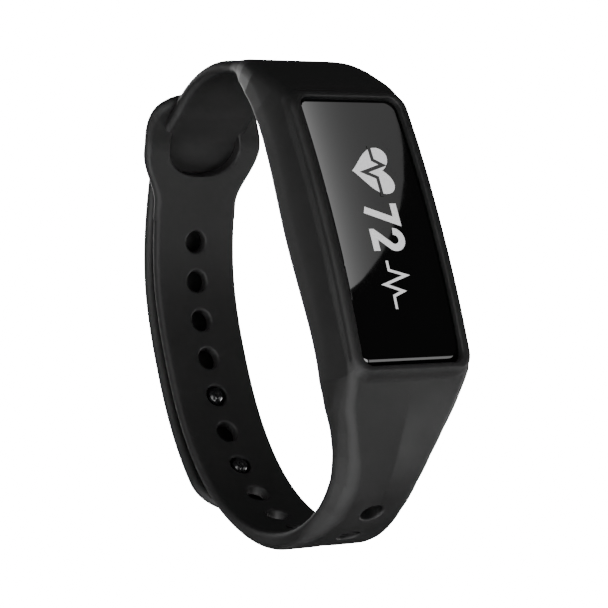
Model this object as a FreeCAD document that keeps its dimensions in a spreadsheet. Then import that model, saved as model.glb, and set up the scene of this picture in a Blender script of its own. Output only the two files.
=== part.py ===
import FreeCAD, Part
import os
from FreeCAD import Placement, Rotation, Vector

# A wrist-worn activity tracker: a silicone band that closes through a keeper ring, and a sealed pod that sits
# in the band's carrier. Everything is drawn upright, with +X along the display's normal, +Y along the forearm
# and +Z up the display, and each piece is then leaned back about the middle of the wrist opening.

doc = FreeCAD.newDocument("tracker_band")
sheet = doc.addObject("Spreadsheet::Sheet", "dims")

drivingSizes = [
    ("lean", 25.0),              # how far the upright band leans back, degrees
    ("strapWidth", 14.6),
    ("strapThick", 1.9),
    ("ringGap", 0.45),           # air between the two straps where the upper one leaves the keeper ring
    ("tailGap", 1.05),           # air between them along the tail
    ("bottomExtra", 0.8),        # how much thicker the lower strap is beyond the tail
    ("edgeRound", 0.7),          # rounding of the straps' long edges
    ("ringWide", 20.8),          # keeper ring, seen along its own axis
    ("ringLong", 13.9),
    ("ringRound", 6.5),
    ("ringAt", 58.4),            # where the ring's centre lies along the inner loop
    ("slotWide", 15.8),
    ("slotLong", 9.5),
    ("slotRound", 4.7),
    ("holeBore", 3.4),
    ("holePitch", 6.3),
    ("holeFirst", 73.7),         # the first hole's place along the inner loop
    ("holeCount", 13),
    ("pegBore", 2.8),
    ("pegFirst", 4),             # the upper peg sits in the hole with this number, counted from 0
    ("pegSkip", 2),              # pitches from one peg to the other
    ("pegProud", 0.6),           # how far the pegs' domes stand out on the wrist side
    ("claspThick", 1.4),
    ("claspWide", 6.0),
    ("claspLong", 19.0),
    ("bendAbove", 16.0),         # the tail's bending line, above the upper peg
    ("tailEnd", 118.5),          # where the tail ends along the inner loop
    ("tailCut", 0.3),            # width of the cut at the bending line
    ("carrierWidth", 21.6),
    ("podWide", 17.6),
    ("podLong", 42.0),
    ("podRound", 2.4),
    ("podMid", -1.2),            # height of the pod's middle
    ("podBack", 21.7),           # depth of the pod's back face
    ("podShoulder", 29.0),       # depth of the shoulder behind the carrier's lip
    ("podSlip", 0.06),           # running gap between the pod and the carrier
    ("podWall", 0.8),
    ("coverThick", 1.0),
    ("lensWide", 16.8),
    ("lensLong", 40.8),
    ("lensRound", 1.6),
    ("lensEdge", 30.2),          # depth of the lens's outer edge at its two ends
    ("lensBow", 1.25),           # how much further its middle stands out
    ("gasketThick", 0.15),
    ("gasketWide", 1.0),
    ("panelWide", 13.4),
    ("panelLong", 32.0),
    ("panelThick", 1.2),
    ("boardWide", 15.2),
    ("boardLong", 38.0),
    ("boardThick", 0.7),
    ("boardBack", 26.3),         # depth of the board's wrist side
    ("cellWide", 11.6),
    ("cellLong", 17.0),
    ("cellThick", 3.2),
    ("screwBore", 1.2),
    ("screwHead", 2.0),
    ("screwHeadTall", 0.5),
    ("screwLong", 3.6),
    ("bossBore", 2.6),
    ("motorBore", 7.2),
    ("motorTall", 2.5),
    ("motorSkin", 0.2),
    ("motorUp", 14.6),
    ("shaftBore", 0.8),
    ("shaftSlip", 0.03),
    ("windowWide", 8.0),
    ("windowLong", 7.0),
    ("windowProud", 0.35),
    ("windowUp", 3.0),
    ("chargeBore", 2.2),
    ("chargeUp", 9.4),
    ("chargeSide", 4.5),
]
for row, (alias, value) in enumerate(drivingSizes, start=1):
    sheet.set(f"A{row}", alias)
    sheet.set(f"B{row}", str(value))
    sheet.setAlias(f"B{row}", alias)
doc.recompute()


def size(alias):
    return float(sheet.get(alias))


def bind(item, **formulas):
    """Binds properties to formulas in which @ stands for the sheet."""
    for name, formula in formulas.items():
        item.setExpression(name, formula.replace("@", "dims."))


# The inner loop that the wrist touches, as a smooth closed curve from the front middle over the top.

loopPoints = [
    (22.2, 0.3), (22.5, 9.9), (20.8, 23.2), (10.2, 33.2), (-5.0, 32.5), (-15.2, 22.5), (-20.4, 11.5),
    (-22.0, 0.3), (-21.6, -11.5), (-16.9, -24.5), (-5.4, -34.1), (10.6, -34.4), (21.3, -22.8), (22.6, -9.1),
]
loop = Part.BSplineCurve()
loop.interpolate(Points=[Vector(x, 0, z) for x, z in loopPoints], PeriodicFlag=True)
loopLength = loop.length()


def outwardAt(distance):
    heading = loop.tangent(loop.parameterAtDistance(distance % loopLength, loop.FirstParameter))[0]
    return Vector(heading.z, 0, -heading.x)


def along(distance, outward=0.0):
    """The point at a distance along the loop, moved outward."""
    base = loop.value(loop.parameterAtDistance(distance % loopLength, loop.FirstParameter))
    return base + outwardAt(distance) * outward


def smooth(value, low, high):
    step = min(max((value - low) / (high - low), 0.0), 1.0)
    return step * step * (3 - 2 * step)


def beside(start, end, lift, count=12):
    """A smooth curve beside the loop, whose distance from it is a function of the place."""
    stops = [start + (end - start) * step / (count - 1) for step in range(count)]
    return through([along(stop, lift(stop)) for stop in stops])


def through(points):
    curve = Part.BSplineCurve()
    curve.interpolate(points)
    return curve


def flat(points):
    return [Vector(x, 0, z) for x, z in points]


def closed(curves):
    """The curves in order, with straight lines across the gaps between them."""
    outline = []
    for number, curve in enumerate(curves):
        outline.append(curve)
        here = curve.value(curve.LastParameter)
        following = curves[(number + 1) % len(curves)]
        there = following.value(following.FirstParameter)
        if here.distanceToPoint(there) > 1e-6:
            outline.append(Part.LineSegment(here, there))
    return outline


# Helpers that make the document's objects.


def sketchOn(body, role, name, curves):
    """A sketch on one of the body's own planes, from curves given where they lie in space."""
    plane = [item for item in body.Origin.OriginFeatures if item.Role == role][0]
    sketch = body.newObject("Sketcher::SketchObject", name)
    sketch.AttachmentSupport = (plane, "")
    sketch.MapMode = "FlatFace"
    doc.recompute()
    toSketch = sketch.Placement.inverse().toMatrix()
    for curve in curves:
        drawn = curve.copy()
        drawn.transform(toSketch)
        sketch.addGeometry(drawn, False)
    return sketch


def padded(name, curves, wide, role="XZ_Plane", roundBy=None):
    """A body whose outline is padded to both sides of its plane."""
    body = doc.addObject("PartDesign::Body", name)
    pad = body.newObject("PartDesign::Pad", name + "Pad")
    pad.Profile = sketchOn(body, role, name + "Outline", curves)
    pad.Midplane = True
    bind(pad, Length=wide)
    doc.recompute()
    if roundBy:
        rounding = body.newObject("PartDesign::Fillet", name + "Rounding")
        rounding.Base = (pad, longEdges(pad.Shape, pad.Length.Value / 2))
        bind(rounding, Radius=roundBy)
        doc.recompute()
    return body


def longEdges(shape, side):
    """Names of the long edges that lie in the two side planes."""
    names = []
    for number, edge in enumerate(shape.Edges, start=1):
        box = edge.BoundBox
        inSidePlane = box.YLength < 1e-6 and abs(abs(box.YMin) - side) < 1e-6
        if inSidePlane and edge.Length > 6:
            names.append(f"Edge{number}")
    return names


def rod(name, middle, direction, bore, tall, foot=0.5):
    """A cylinder; foot says which part of its height lies behind the given point."""
    item = doc.addObject("Part::Cylinder", name)
    bind(item, Radius=f"({bore})/2", Height=tall)
    doc.recompute()
    turn = Rotation(Vector(0, 0, 1), direction)
    item.Placement = Placement(middle - direction * item.Height.Value * foot, turn)
    return item


def block(name, depth, sizes, up=0.0, side=0.0):
    """A box by the depth of its wrist side; the sizes are formulas along X, Y and Z."""
    item = doc.addObject("Part::Box", name)
    bind(item, Length=sizes[0], Width=sizes[1], Height=sizes[2])
    doc.recompute()
    item.Placement.Base = Vector(depth, side - item.Width.Value / 2, up - item.Height.Value / 2)
    return item


def slab(name, depth, sizes, corner, up=0.0, side=0.0):
    """A box with its four corners rounded, as seen from the wrist."""
    plate = block(name + "Plate", depth, sizes, up, side)
    doc.recompute()
    edges = []
    for number, edge in enumerate(plate.Shape.Edges, start=1):
        if edge.BoundBox.XLength > plate.Length.Value / 2:
            edges.append((number, corner, corner))
    rounded = doc.addObject("Part::Fillet", name)
    rounded.Base = plate
    rounded.Edges = edges
    doc.recompute()
    return rounded


def minus(name, base, *tools):
    cut = doc.addObject("Part::Cut", name)
    cut.Base = base
    cut.Tool = tools[0] if len(tools) == 1 else union(name + "Tools", *tools)
    return cut


def union(name, *parts):
    fuse = doc.addObject("Part::MultiFuse", name)
    fuse.Shapes = list(parts)
    return fuse


def overlap(name, *parts):
    common = doc.addObject("Part::MultiCommon", name)
    common.Shapes = list(parts)
    return common


def together(name, *parts):
    group = doc.addObject("Part::Compound", name)
    group.Links = list(parts)
    return group


finished = []
leanBack = Placement(Vector(0, 0, 0), Rotation(Vector(0, 1, 0), -size("lean")))


def finish(label, item):
    """Names a piece and leans it back with the rest of the band."""
    item.Label = label
    doc.recompute()
    item.Placement = leanBack.multiply(item.Placement)
    finished.append(item)


front = Vector(1, 0, 0)
podMid = size("podMid")
podBack = size("podBack")

# The silicone band: carrier, lower strap with its holes, keeper ring and the root of the upper strap.

strapThick = size("strapThick")
ringTuck = strapThick + size("ringGap")
tuck = strapThick + size("tailGap")
ringAt = size("ringAt")
tailEnd = size("tailEnd")
bendAt = size("holeFirst") + size("pegFirst") * size("holePitch") - size("bendAbove")


def upperLift(place):
    """The upper strap starts on the loop, comes out through the slot and stands off a little further on."""
    rise = ringTuck * smooth(place, ringAt - 6.3, ringAt + 2.6)
    return rise + (tuck - ringTuck) * smooth(place, ringAt + 4.0, bendAt)


def ringLift(place):
    """The ring's end bar lies outside the upper strap and its root runs into the lower strap."""
    return (ringTuck + 0.15) * (1 - smooth(place, ringAt - 5.0, ringAt + 0.9))


def onLoop(place):
    return 0.0


def strapSide(start, end, lift, thick=strapThick):
    def outer(place):
        return lift(place) + thick
    return closed([beside(start, end, lift), beside(end, start, outer)])


def lowerOuter(place):
    """The lower strap gets a little thicker beyond the tail, on its way to the carrier."""
    return strapThick + size("bottomExtra") * smooth(place, tailEnd + 2.0, strapRoot - 4.0)


rimTop = Vector(31.0, 0, 20.1)
rimCrown = Vector(32.25, 0, podMid)
rimFoot = Vector(31.0, 0, -22.5)
rim = Part.Arc(rimTop, rimCrown, rimFoot)
shoulderSlope = through(flat([
    (13.8, 33.9), (19.2, 31.1), (24.0, 27.9), (27.7, 24.6), (29.9, 21.9), (31.0, 20.1)]))
chinCorner = [(31.0, -22.5), (29.9, -23.9), (26.9, -27.6)]
chinFoot = [(23.4, -31.0), (19.2, -34.0), (14.2, -36.7)]
chinSlope = through(flat(chinCorner + chinFoot))
strapStart = ringAt + size("slotLong") / 2 + 0.05
strapRoot = loopLength - 46.0
lowerJoin = loopLength - 24.0

carrierInside = beside(loopLength - 33.0, loopLength + 36.5, onLoop, 16)
carrierSide = closed([carrierInside, shoulderSlope, rim, chinSlope])
carrierBlock = padded("carrierBlock", carrierSide, "@carrierWidth")


def besideFront(points):
    """Half an outline seen from the front, given as half width and height, and its mirror image."""
    left = through([Vector(0, -wide, up) for wide, up in points])
    right = through([Vector(0, wide, up) for wide, up in reversed(points)])
    return [left, right]


halfStrap = size("strapWidth") / 2
halfCarrier = size("carrierWidth") / 2
frontHalf = [
    (halfStrap, 38.0), (halfStrap, 33.0), (halfStrap + 0.6, 29.5), (halfCarrier - 0.5, 26.0),
    (halfCarrier, 22.5), (halfCarrier, 10.0), (halfCarrier, -10.0), (halfCarrier, -18.0),
    (halfCarrier - 0.5, -22.0), (halfStrap + 1.2, -27.5), (halfStrap, -33.5), (halfStrap, -42.0)]
carrierFront = padded("carrierFront", closed(besideFront(frontHalf)), "100", role="YZ_Plane")
carrierShape = overlap("carrierShape", carrierBlock, carrierFront)

lowerSide = closed([
    beside(strapStart, lowerJoin, onLoop, 20),
    through([along(lowerJoin, 3.0), *flat(chinFoot), along(strapRoot - 3.0, lowerOuter(strapRoot) + 0.2)]),
    beside(strapRoot - 8.0, strapStart, lowerOuter, 16)])
lowerStrap = padded("lowerStrap", lowerSide, "@strapWidth", roundBy="@edgeRound")
upperRoot = padded("upperRoot", strapSide(26.0, bendAt, upperLift), "@strapWidth", roundBy="@edgeRound")

ringSide = padded("ringSide", strapSide(ringAt - 8.0, ringAt + 8.0, ringLift), "@ringWide")
ringTurn = Placement(along(ringAt, strapThick), Rotation(front, outwardAt(ringAt)))


def acrossRing(name, wide, tall, corner, shift=0.0):
    """A block that stands across the ring, moved toward its end bar."""
    item = slab(name, -15.0, ("30", wide, tall), corner, shift)
    item.Placement = ringTurn.multiply(item.Placement)
    return item


ringPlan = acrossRing("ringPlan", "@ringWide", "@ringLong", size("ringRound"))
slotLower = acrossRing("slotLower", "@slotWide", "@slotLong", size("slotRound"))
slotUpper = acrossRing("slotUpper", "@slotWide", "@slotLong * 0.6", 1.0, size("slotLong") * 0.2)
ring = minus("ringHoop", overlap("ringBlank", ringSide, ringPlan), slotLower, slotUpper)

podSlip = size("podSlip")
pocket = slab("pocket", podBack - 6, ("@podShoulder - @podBack + 6 + @podSlip", "@podWide + 2 * @podSlip",
              "@podLong + 2 * @podSlip"), size("podRound"), podMid)
lensOpening = slab("lensOpening", size("podShoulder") - 1, ("8", "@lensWide + 2 * @podSlip",
                   "@lensLong + 2 * @podSlip"), size("lensRound"), podMid)
holeRods = []
for number in range(int(size("holeCount"))):
    place = size("holeFirst") + number * size("holePitch")
    holeRods.append(rod(f"hole{number}", along(place), outwardAt(place), "@holeBore", "14"))

holedStrap = minus("holedStrap", union("strapBlank", carrierShape, lowerStrap), *holeRods)
bandBlank = union("bandBlank", holedStrap, upperRoot, ring)
finish("silicone_band", minus("bandCut", bandBlank, pocket, lensOpening))

# The free end of the upper strap, cut at its bending line, and the clasp that pegs it to the lower strap.

tailStart = bendAt + size("tailCut")
tailBar = padded("tailBar", strapSide(tailStart, tailEnd, lambda place: tuck), "@strapWidth",
                 roundBy="@edgeRound")
tailRound = rod("tailRound", along(tailEnd - halfStrap), outwardAt(tailEnd - halfStrap), "@strapWidth", "30")
squareSide = strapSide(tailStart - 2, tailEnd - halfStrap, lambda place: tuck - 3, 9)
tailSquare = padded("tailSquare", squareSide, "@strapWidth + 2")
tailShape = overlap("tailShape", tailBar, union("tailPlan", tailRound, tailSquare))

firstPeg = size("holeFirst") + size("pegFirst") * size("holePitch")
secondPeg = firstPeg + size("pegSkip") * size("holePitch")
chord = (along(firstPeg, strapThick / 2) - along(secondPeg, strapThick / 2)).normalize()
pegAxis = Vector(-chord.z, 0, chord.x)
claspSunk = 0.6    # how deep the plate lies in the tail
claspBack = tuck + strapThick - claspSunk
pegHalf = size("pegBore") / 2
studFoot = 0.034   # the part of a stud's height that lies on the wrist side of the strap's middle


def clasp(name):
    """The clasp's studs and plate, used once for the clasp itself and once for its seat in the tail."""
    studs = []
    for number, place in enumerate((firstPeg, secondPeg)):
        seat = along(place, strapThick / 2)
        stud = rod(f"{name}Stud{number}", seat, pegAxis, "@pegBore", "@strapThick * 2 + @tailGap - 0.4",
                   studFoot)
        studs.append(stud)
    plate = slab(name + "Base", 0, ("@claspThick", "@claspWide", "@claspLong"),
                 size("claspWide") / 2 - 0.1)
    middle = (along(firstPeg) + along(secondPeg)) / 2
    plate.Placement = Placement(middle + pegAxis * claspBack, Rotation(front, pegAxis))
    return studs, plate


studs, plate = clasp("clasp")
domes = []
for number, place in enumerate((firstPeg, secondPeg)):
    dome = doc.addObject("Part::Sphere", f"claspDome{number}")
    bind(dome, Radius="@pegBore / 2")
    seat = along(place, strapThick / 2)
    dome.Placement.Base = seat - pegAxis * (strapThick / 2 + size("pegProud") - pegHalf)
    domes.append(dome)
finish("peg_clasp", union("claspSolid", plate, *studs, *domes))
seatStuds, seatPlate = clasp("seat")
finish("strap_tail", minus("tailCutOut", tailShape, seatPlate, *seatStuds))

# The pod's shell: case with a front frame and screw bosses, back cover, seal, screws, lens and its gasket.

caseBack = podBack + size("coverThick")
shoulder = size("podShoulder")
inner = ("@podWide - 2 * @podWall", "@podLong - 2 * @podWall")
innerRound = size("podRound") - size("podWall")
panelUp = podMid + 1.5
bossSide = size("podWide") / 2 - size("podWall") - 1.1
bossUp = size("podLong") / 2 - size("podWall") - 1.1
bossPlaces = [Vector(caseBack, side * bossSide, podMid + up * bossUp) for side in (-1, 1) for up in (-1, 1)]

caseBlock = slab("caseBlock", caseBack, ("@podShoulder - @podBack - @coverThick", "@podWide", "@podLong"),
                 size("podRound"), podMid)
caseHollow = slab("caseHollow", caseBack - 1, ("@podShoulder - @podBack - @coverThick - @podWall + 1", *inner),
                  innerRound, podMid)
caseWindow = slab("caseWindow", shoulder - 2, ("4", "@panelWide + 0.4", "@panelLong + 0.4"), 0.6, panelUp)
bosses = [rod(f"boss{number}", place, front, "@bossBore", "@screwLong - 0.1", 0.0)
          for number, place in enumerate(bossPlaces)]
threads = [rod(f"thread{number}", place, front, "@screwBore", "@screwLong - 0.5", 0.0)
           for number, place in enumerate(bossPlaces)]
caseInside = overlap("bossesInside", union("bossSet", *bosses), slab("bossLimit", caseBack, (
    "@screwLong", "@podWide - 0.2", "@podLong - 0.2"), size("podRound"), podMid))
finish("pod_case", minus("caseCut", union("caseBlank", minus("caseTub", caseBlock, caseHollow, caseWindow),
                                          caseInside), *threads))

sealOuter = ("@podWide - 0.4", "@podLong - 0.4")
sealInner = ("@podWide - 1.2", "@podLong - 1.2")


def sealRing(name, thick):
    outer = slab(name + "Outer", caseBack - 0.3, (thick, *sealOuter), size("podRound") - 0.2, podMid)
    core = slab(name + "Core", caseBack - 1, ("3", *sealInner), size("podRound") - 0.6, podMid)
    return minus(name, outer, core)


windowUp = size("windowUp")
windowRound = 1.8


def windowPlug(name, depth, thick):
    return slab(name, depth, (thick, "@windowWide", "@windowLong"), windowRound, windowUp)


chargePlaces = [Vector(podBack, side * size("chargeSide"), size("chargeUp")) for side in (-1, 1)]
coverPlate = slab("coverPlate", podBack, ("@coverThick", "@podWide", "@podLong"), size("podRound"), podMid)
coverHoles = [windowPlug("windowHole", podBack - 1, "4")]
for number, place in enumerate(chargePlaces):
    coverHoles.append(rod(f"chargeHole{number}", place, front, "@chargeBore", "4"))
for number, place in enumerate(bossPlaces):
    head = Vector(podBack, place.y, place.z)
    coverHoles.append(rod(f"screwHole{number}", head, front, "@screwBore + 0.1", "4"))
    coverHoles.append(rod(f"headSeat{number}", head, front, "@screwHead + 0.1", "(@screwHeadTall + 0.1) * 2"))
coverHoles.append(sealRing("sealGroove", "1"))
finish("back_cover", minus("coverCut", coverPlate, *coverHoles))
finish("cover_seal", sealRing("sealStrip", "0.3"))

screws = []
for number, place in enumerate(bossPlaces):
    seat = Vector(podBack + 0.1, place.y, place.z)
    head = rod(f"screwHead{number}", seat, front, "@screwHead", "@screwHeadTall", 0.0)
    shank = rod(f"screwShank{number}", seat, front, "@screwBore", "@screwLong", 0.0)
    slot = rod(f"screwDrive{number}", seat, front, "@screwHead * 0.45", "@screwHeadTall")
    screws.append(minus(f"screw{number}", union(f"screwBlank{number}", head, shank), slot))
finish("cover_screws", together("screwSet", *screws))

lensBack = shoulder + size("gasketThick")
lensTop = podMid + size("lensLong") / 2
lensFoot = podMid - size("lensLong") / 2
lensSide = closed([
    Part.Arc(Vector(size("lensEdge"), 0, lensTop), Vector(size("lensEdge") + size("lensBow"), 0, podMid),
             Vector(size("lensEdge"), 0, lensFoot)),
    Part.LineSegment(Vector(lensBack, 0, lensFoot), Vector(lensBack, 0, lensTop))])
lensPlan = slab("lensPlan", lensBack - 1, ("5", "@lensWide", "@lensLong"), size("lensRound"), podMid)
finish("cover_lens", overlap("lensShape", padded("lensBody", lensSide, "@lensWide"), lensPlan))

gasketOuter = slab("gasketOuter", shoulder, ("@gasketThick", "@lensWide - 0.2", "@lensLong - 0.2"),
                   size("lensRound"), podMid)
gasketHole = slab("gasketHole", shoulder - 1, ("3", "@lensWide - 0.2 - 2 * @gasketWide",
                  "@lensLong - 0.2 - 2 * @gasketWide"), size("lensRound") - 0.8, podMid)
finish("lens_gasket", minus("gasketCut", gasketOuter, gasketHole))

# The display under the lens.

panelBack = shoulder - size("panelThick")
boardBack = size("boardBack")
boardFront = boardBack + size("boardThick")
finish("touch_film", slab("filmPlate", lensBack - 0.1, ("0.1", "@panelWide", "@panelLong + 3"), 0.8, podMid))
finish("display_panel", slab("panelPlate", panelBack, ("@panelThick", "@panelWide", "@panelLong"), 0.4,
                             panelUp))
finish("panel_foam", slab("foamPlate", boardFront, ("@podShoulder - @panelThick - @boardBack - @boardThick",
       "@panelWide - 1.4", "@panelLong - 4"), 0.8, panelUp))
panelFoot = panelUp - size("panelLong") / 2
flexThick = 0.15
flexFall = block("flexFall", panelBack + 0.2, ("0.15", "7", "1.6"), panelFoot - 0.8)
flexReach = "@podShoulder - @panelThick - @boardBack - @boardThick + 0.35"
flexReturn = block("flexReturn", boardFront, (flexReach, "7", "0.15"), panelFoot - 1.6 - flexThick / 2)
finish("display_flex", union("flexStrip", flexFall, flexReturn))

# The main board, with its chips on the wrist side, and the battery behind its lower half.

boardCorner = 1.4
finish("main_board", slab("boardPlate", boardBack, ("@boardThick", "@boardWide", "@boardLong"), boardCorner,
                          podMid))
chips = [
    # label, thickness, width, height, side, up
    ("processor", 0.8, 5.0, 5.0, 0.0, 4.4),
    ("memory_chip", 0.7, 3.0, 4.0, 5.2, 2.6),
    ("motion_sensor", 0.7, 2.0, 2.0, -5.2, 5.2),
    ("crystal", 0.5, 1.6, 2.0, -5.2, 1.8),
    ("chip_antenna", 1.0, 1.6, 3.2, 5.8, 12.6),
    ("power_chip", 0.6, 2.4, 2.4, -5.6, 12.6),
]
for label, thick, wide, tall, side, up in chips:
    finish(label, slab(label + "Block", boardBack - thick, (str(thick), str(wide), str(tall)), 0.12, up, side))

cellUp = podMid - 9.0
cellFoot = cellUp - size("cellLong") / 2
tapeThick = 0.15
cellBack = boardBack - tapeThick - size("cellThick")
finish("battery_pouch", slab("cellBlock", cellBack, ("@cellThick", "@cellWide", "@cellLong"), 1.2, cellUp))
finish("battery_tape", block("tapeStrip", boardBack - tapeThick, (str(tapeThick), "@cellWide - 2",
       "@cellLong - 3"), cellUp))
guardTall = 0.7
guardBack = boardBack - 3.0
finish("protection_board", block("guardStrip", guardBack, ("2.2", "9", str(guardTall)),
                                 cellFoot - guardTall / 2))
tabs = [block(f"tab{number}", guardBack + 2.2, ("0.8", "1.6", "0.15"), cellFoot - guardTall / 2, side)
        for number, side in enumerate((-2.6, 2.6))]
finish("battery_tabs", together("tabSet", *tabs))

# The coin vibration motor: can, base, coils, shaft and the off-centre weight that spins on it.

motorUp = size("motorUp")
motorFront = Vector(boardBack, 0, motorUp)
wrist = Vector(-1, 0, 0)


def motorRod(name, bore, tall, gap=0.0):
    """A round piece of the motor, the gap away from the board."""
    return rod(name, motorFront + wrist * gap, wrist, bore, tall, 0.0)


motorSkin = size("motorSkin")
finish("motor_base", motorRod("motorFloor", "@motorBore", "@motorSkin"))
finish("motor_case", minus("canCut", motorRod("canOuter", "@motorBore", "@motorTall - @motorSkin", motorSkin),
       motorRod("canHollow", "@motorBore - 2 * @motorSkin", "@motorTall - 2 * @motorSkin", motorSkin)))
finish("motor_shaft", motorRod("shaftPin", "@shaftBore", "@motorTall - 2 * @motorSkin", motorSkin))
coilRing = minus("coilRing", motorRod("coilOuter", "@motorBore * 0.8", "0.3", motorSkin),
                 motorRod("coilBore", "@motorBore * 0.36", "1", motorSkin - 0.2))
finish("motor_coils", minus("coilCut", coilRing, block("coilGap", boardBack - 2, ("3", "0.8", "9"), motorUp)))
weightGap = motorSkin + 0.55
weightDisc = motorRod("weightDisc", "@motorBore - 2 * @motorSkin - 0.5", "@motorTall * 0.48", weightGap)
weightHalf = block("weightHalf", boardBack - 4, ("4", "9", "4"), motorUp + 2.3)
weightHub = motorRod("weightHub", "@shaftBore * 2.6", "@motorTall * 0.48", weightGap)
weightBore = motorRod("weightBore", "@shaftBore + 2 * @shaftSlip", "4", 0.0)
finish("motor_weight", minus("weightCut", union("weightBlank", overlap("weightSector", weightDisc, weightHalf),
                                                weightHub), weightBore))

# The pulse sensor: a small board that looks through a window in the back cover.

sensorBack = caseBack + 0.7
finish("sensor_window", windowPlug("windowPlate", podBack - size("windowProud"), "@coverThick + @windowProud"))
finish("sensor_board", slab("sensorPlate", sensorBack, ("0.5", "@windowWide + 1.6", "@windowLong + 1.2"), 0.6,
                            windowUp))
lightUp = 2.3
lights = [block(f"light{number}", sensorBack - 0.5, ("0.5", "1.6", "0.9"), windowUp + side * lightUp)
          for number, side in enumerate((-1, 1))]
finish("pulse_lights", together("lightSet", *lights))
finish("light_sensor", block("photoCell", sensorBack - 0.5, ("0.5", "2.2", "1.8"), windowUp))
barrierBlock = slab("barrierBlock", caseBack, ("0.7", "@windowWide + 1.2", "@windowLong + 0.8"), 0.6, windowUp)
barrierRooms = [block(f"room{number}", caseBack - 1, ("3", "@windowWide - 1", tall), windowUp + up)
                for number, (up, tall) in enumerate(((-lightUp, "1.5"), (0, "2.2"), (lightUp, "1.5")))]
finish("light_barrier", minus("barrierCut", barrierBlock, *barrierRooms))
finish("sensor_flex", block("flexTail", sensorBack + 0.5, ("@boardBack - @podBack - @coverThick - 1.2", "1.6",
       "0.15"), windowUp + 3.6, 4.2))

# The charging contacts and the spring pins that join them to the board.

pads = [rod(f"chargePad{number}", place - front * 0.1, front, "@chargeBore", "@coverThick + 0.1", 0.0)
        for number, place in enumerate(chargePlaces)]
finish("charge_pads", together("padSet", *pads))
pins = []
for number, place in enumerate(chargePlaces):
    foot = Vector(boardBack, place.y, place.z)
    barrel = rod(f"pinBarrel{number}", foot, wrist, "1.3", "2.2", 0.0)
    plunger = rod(f"pinPlunger{number}", foot, wrist, "0.7", "@boardBack - @podBack - @coverThick", 0.0)
    pins.append(union(f"pin{number}", barrel, plunger))
finish("charge_pins", together("pinSet", *pins))

# Every object must have worked out before anything is written.

doc.recompute()
for item in doc.Objects:
    if "Invalid" in item.State or "Error" in item.State:
        raise RuntimeError(f"{item.Name} did not work out: {item.State}")
for item in finished:
    if item.Shape.isNull() or not item.Shape.isValid() or not item.Shape.Solids:
        raise RuntimeError(f"{item.Label} has no valid shape")

os.makedirs("parts", exist_ok=True)
for item in finished:
    item.Shape.exportStep(f"parts/{item.Label}.step")
    print(item.Label, len(item.Shape.Solids), round(item.Shape.Volume, 2))
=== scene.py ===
import math
import bpy
import bmesh
import numpy as np
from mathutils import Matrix, Quaternion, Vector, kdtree


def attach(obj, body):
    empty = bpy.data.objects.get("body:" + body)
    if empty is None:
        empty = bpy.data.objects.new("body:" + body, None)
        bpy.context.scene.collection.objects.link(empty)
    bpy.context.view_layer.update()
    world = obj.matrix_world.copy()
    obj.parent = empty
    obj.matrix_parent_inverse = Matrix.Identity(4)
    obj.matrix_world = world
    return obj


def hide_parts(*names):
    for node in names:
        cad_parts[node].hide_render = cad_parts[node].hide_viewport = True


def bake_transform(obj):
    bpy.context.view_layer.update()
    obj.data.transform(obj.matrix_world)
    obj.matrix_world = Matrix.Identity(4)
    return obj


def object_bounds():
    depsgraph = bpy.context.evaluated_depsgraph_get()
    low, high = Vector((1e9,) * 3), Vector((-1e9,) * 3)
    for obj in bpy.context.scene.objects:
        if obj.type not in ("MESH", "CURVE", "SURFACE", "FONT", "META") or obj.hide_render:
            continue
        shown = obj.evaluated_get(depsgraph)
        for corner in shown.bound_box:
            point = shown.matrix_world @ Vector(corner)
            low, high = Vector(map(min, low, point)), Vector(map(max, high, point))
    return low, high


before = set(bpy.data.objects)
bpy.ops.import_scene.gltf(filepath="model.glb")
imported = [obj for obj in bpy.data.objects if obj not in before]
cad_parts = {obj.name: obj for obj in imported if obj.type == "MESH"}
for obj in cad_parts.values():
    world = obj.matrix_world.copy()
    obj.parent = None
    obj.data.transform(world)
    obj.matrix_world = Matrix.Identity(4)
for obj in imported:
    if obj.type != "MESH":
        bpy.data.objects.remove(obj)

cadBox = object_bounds()
print("frame loaded:", len(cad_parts), "nodes")

# The band is drawn upright in millimetres: x along the display's normal, y along the forearm
# and z up the display. toFrame leans it back and turns it into metres.
fit = {
    "lean": math.radians(25.0),
    "strapHalf": 7.3,
    "strapThick": 1.9,
    "ringGap": 0.45,
    "tailGap": 1.05,
    "podMid": -1.2,
    "shoulder": 29.0,
}
ringTuck = fit["strapThick"] + fit["ringGap"]
tuck = fit["strapThick"] + fit["tailGap"]


def toFrame(points):
    c, s = math.cos(fit["lean"]), math.sin(fit["lean"])
    points = np.asarray(points, float)
    return np.stack([points[:, 0] * c - points[:, 2] * s, points[:, 1],
                     points[:, 0] * s + points[:, 2] * c], 1) * 0.001


# the closed line that the wrist touches, from the middle of the front over the top
loopKnots = np.array([
    (22.2, 0.3), (22.5, 9.9), (20.8, 23.2), (10.2, 33.2), (-5.0, 32.5), (-15.2, 22.5), (-20.4, 11.5),
    (-22.0, 0.3), (-21.6, -11.5), (-16.9, -24.5), (-5.4, -34.1), (10.6, -34.4), (21.3, -22.8), (22.6, -9.1)])


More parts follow.
